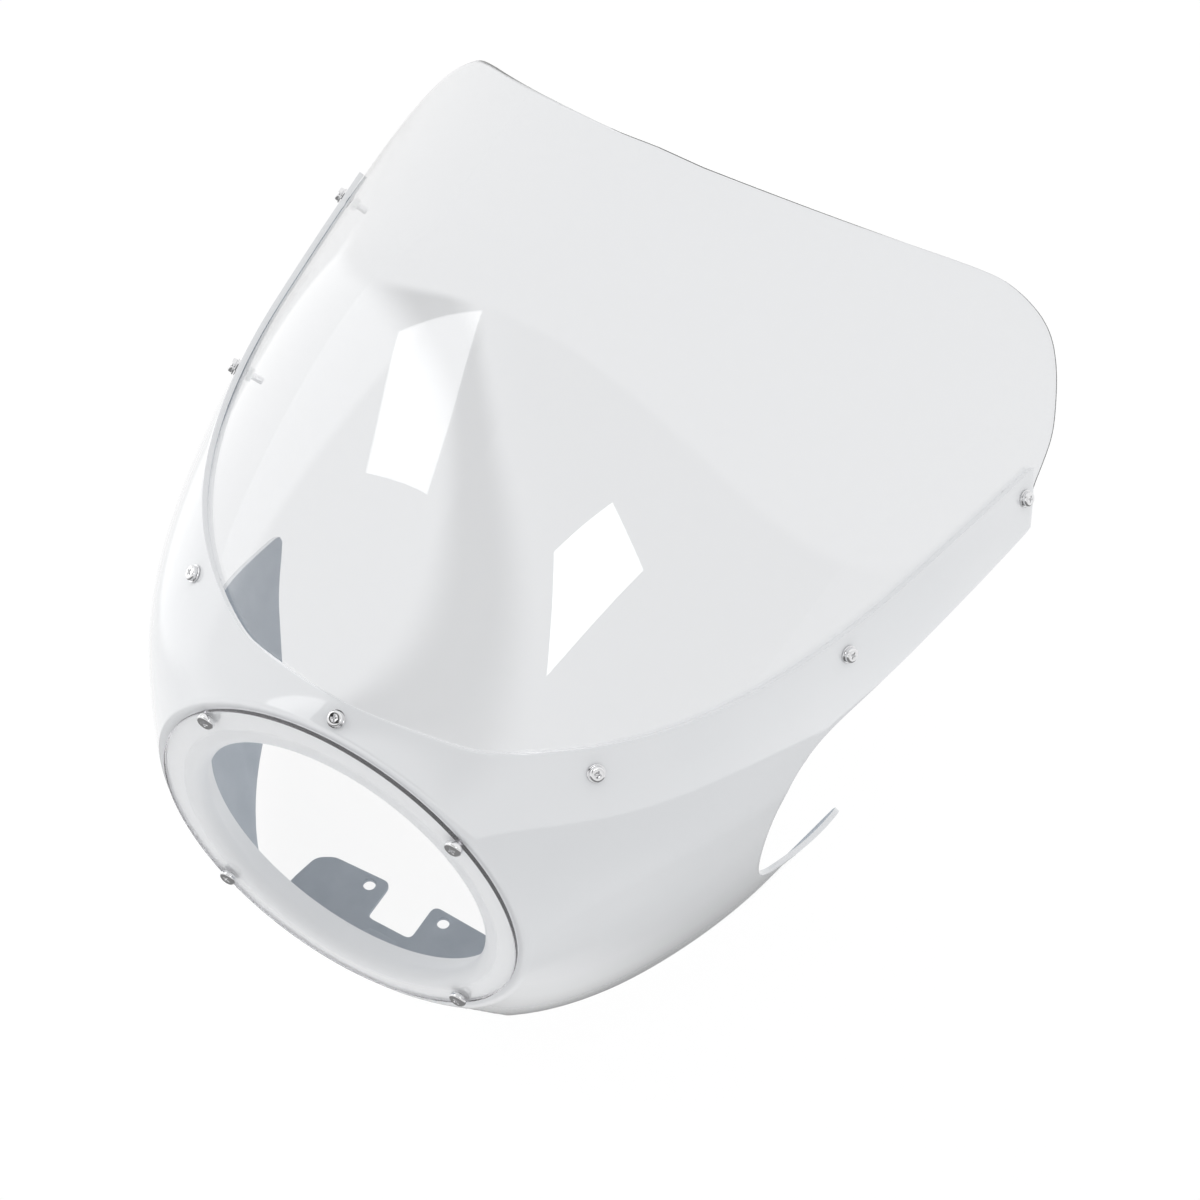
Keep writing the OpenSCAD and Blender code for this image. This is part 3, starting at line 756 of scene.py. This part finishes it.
chrome_finish = bpy.data.materials.new("bright_plating")
s = Sheet(chrome_finish)
spot = s.add("ShaderNodeTexCoord", out="Object")
wear = s.add("ShaderNodeTexNoise", {}, {"Vector": spot, "Scale": 900.0, "Detail": 2.0})
s.add("ShaderNodeOutputMaterial", {}, {"Surface": s.add("ShaderNodeBsdfPrincipled", {}, {
    "Base Color": (0.82, 0.82, 0.83, 1), "Metallic": 1.0, "Roughness": wear * 0.12 + 0.06})})
small, large = pan_screw(4.0, 2.6, screen_shank_r, 17), pan_screw(4.75, 3.0, cover_shank_r, 16)
for screw in (small, large):
    put(screw, chrome_finish)
on_washer = seat + washer_t + 0.05
screen_screws = copies(small, "screen_edge_screws", [seat_on_skin(a, y, on_washer) for a, y in screw_spots],
                       [20, 64, 11, 38, 75, 50, 5])
cover_screws = copies(large, "front_cover_screws", cover_spots, [33, 8, 61, 47])
for screw in (small, large):
    bpy.data.objects.remove(screw)
for piece, node in ((screen_screws, "screen_screws"), (cover_screws, "lens_screws")):
    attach(piece, "root")
    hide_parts(node)


# The washers.
# Thin flat plated rings that spread the load of the seven screen screws.
washer_r = 4.7
bpy.ops.object.select_all(action="DESELECT")
bpy.ops.mesh.primitive_cylinder_add(vertices=48, radius=washer_r / 1000, depth=washer_t / 1000,
                                    location=(0, 0, washer_t / 2000))
washer = bpy.context.object
bpy.ops.object.transform_apply(location=True)
bpy.ops.mesh.primitive_cylinder_add(vertices=32, radius=(screen_shank_r + hole_clear) / 1000, depth=0.004)
cut_with(washer, bpy.context.object)
round_edges(washer, 0.00015, 2)
put(washer, chrome_finish)
washers = copies(washer, "screen_edge_washers", [seat_on_skin(a, y, seat) for a, y in screw_spots], [0])
bpy.data.objects.remove(washer)
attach(washers, "root")
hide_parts("screen_washers")


# The nuts.
# White nylon six-sided nuts on the inside, which grip the screws without
# crushing the plastic.
nut_seat, flange_t, nut_gap = 0.7, 2.8, 0.15


def hex_nut(across, thick, bore_r):
    """A six-sided nut whose bearing face lies at z = 0, below it."""
    bpy.ops.object.select_all(action="DESELECT")
    bpy.ops.mesh.primitive_cylinder_add(vertices=6, radius=across / 1000 / math.sqrt(3), depth=thick / 1000,
                                        location=(0, 0, -thick / 2000))
    nut = bpy.context.object
    bpy.ops.object.transform_apply(location=True)
    bpy.ops.mesh.primitive_cylinder_add(vertices=32, radius=(bore_r + 0.05) / 1000, depth=0.012)
    cut_with(nut, bpy.context.object)
    round_edges(nut, 0.0004, 3, 40)
    return nut


nylon_finish = bpy.data.materials.new("white_nylon")
s = Sheet(nylon_finish)
spot = s.add("ShaderNodeTexCoord", out="Object")
grain = s.add("ShaderNodeTexNoise", {}, {"Vector": spot, "Scale": 500.0, "Detail": 2.0})
s.add("ShaderNodeOutputMaterial", {}, {"Surface": s.add("ShaderNodeBsdfPrincipled", {}, {
    "Base Color": (0.80, 0.80, 0.78, 1), "Roughness": grain * 0.1 + 0.38, "Subsurface Weight": 0.1,
    "Normal": s.add("ShaderNodeBump", {}, {"Strength": 0.1, "Distance": 0.0001, "Height": grain})})})
small, large = hex_nut(7, 3.2, screen_shank_r), hex_nut(8, 4.2, cover_shank_r)
for nut in (small, large):
    put(nut, nylon_finish)
behind_screen = -wall - screen_gap - screen_t - nut_seat
behind_flange = Matrix.Translation((0, 0, -(flange_y + flange_t + nut_gap) / 1000))
screen_nuts = copies(small, "screen_edge_nuts", [seat_on_skin(a, y, behind_screen) for a, y in screw_spots],
                     [10, 47, 22])
cover_nuts = copies(large, "front_cover_nuts", [m @ behind_flange for m in cover_spots], [15, 40])
for nut in (small, large):
    bpy.data.objects.remove(nut)
for piece, node in ((screen_nuts, "screen_nuts"), (cover_nuts, "lens_nuts")):
    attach(piece, "root")
    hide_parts(node)
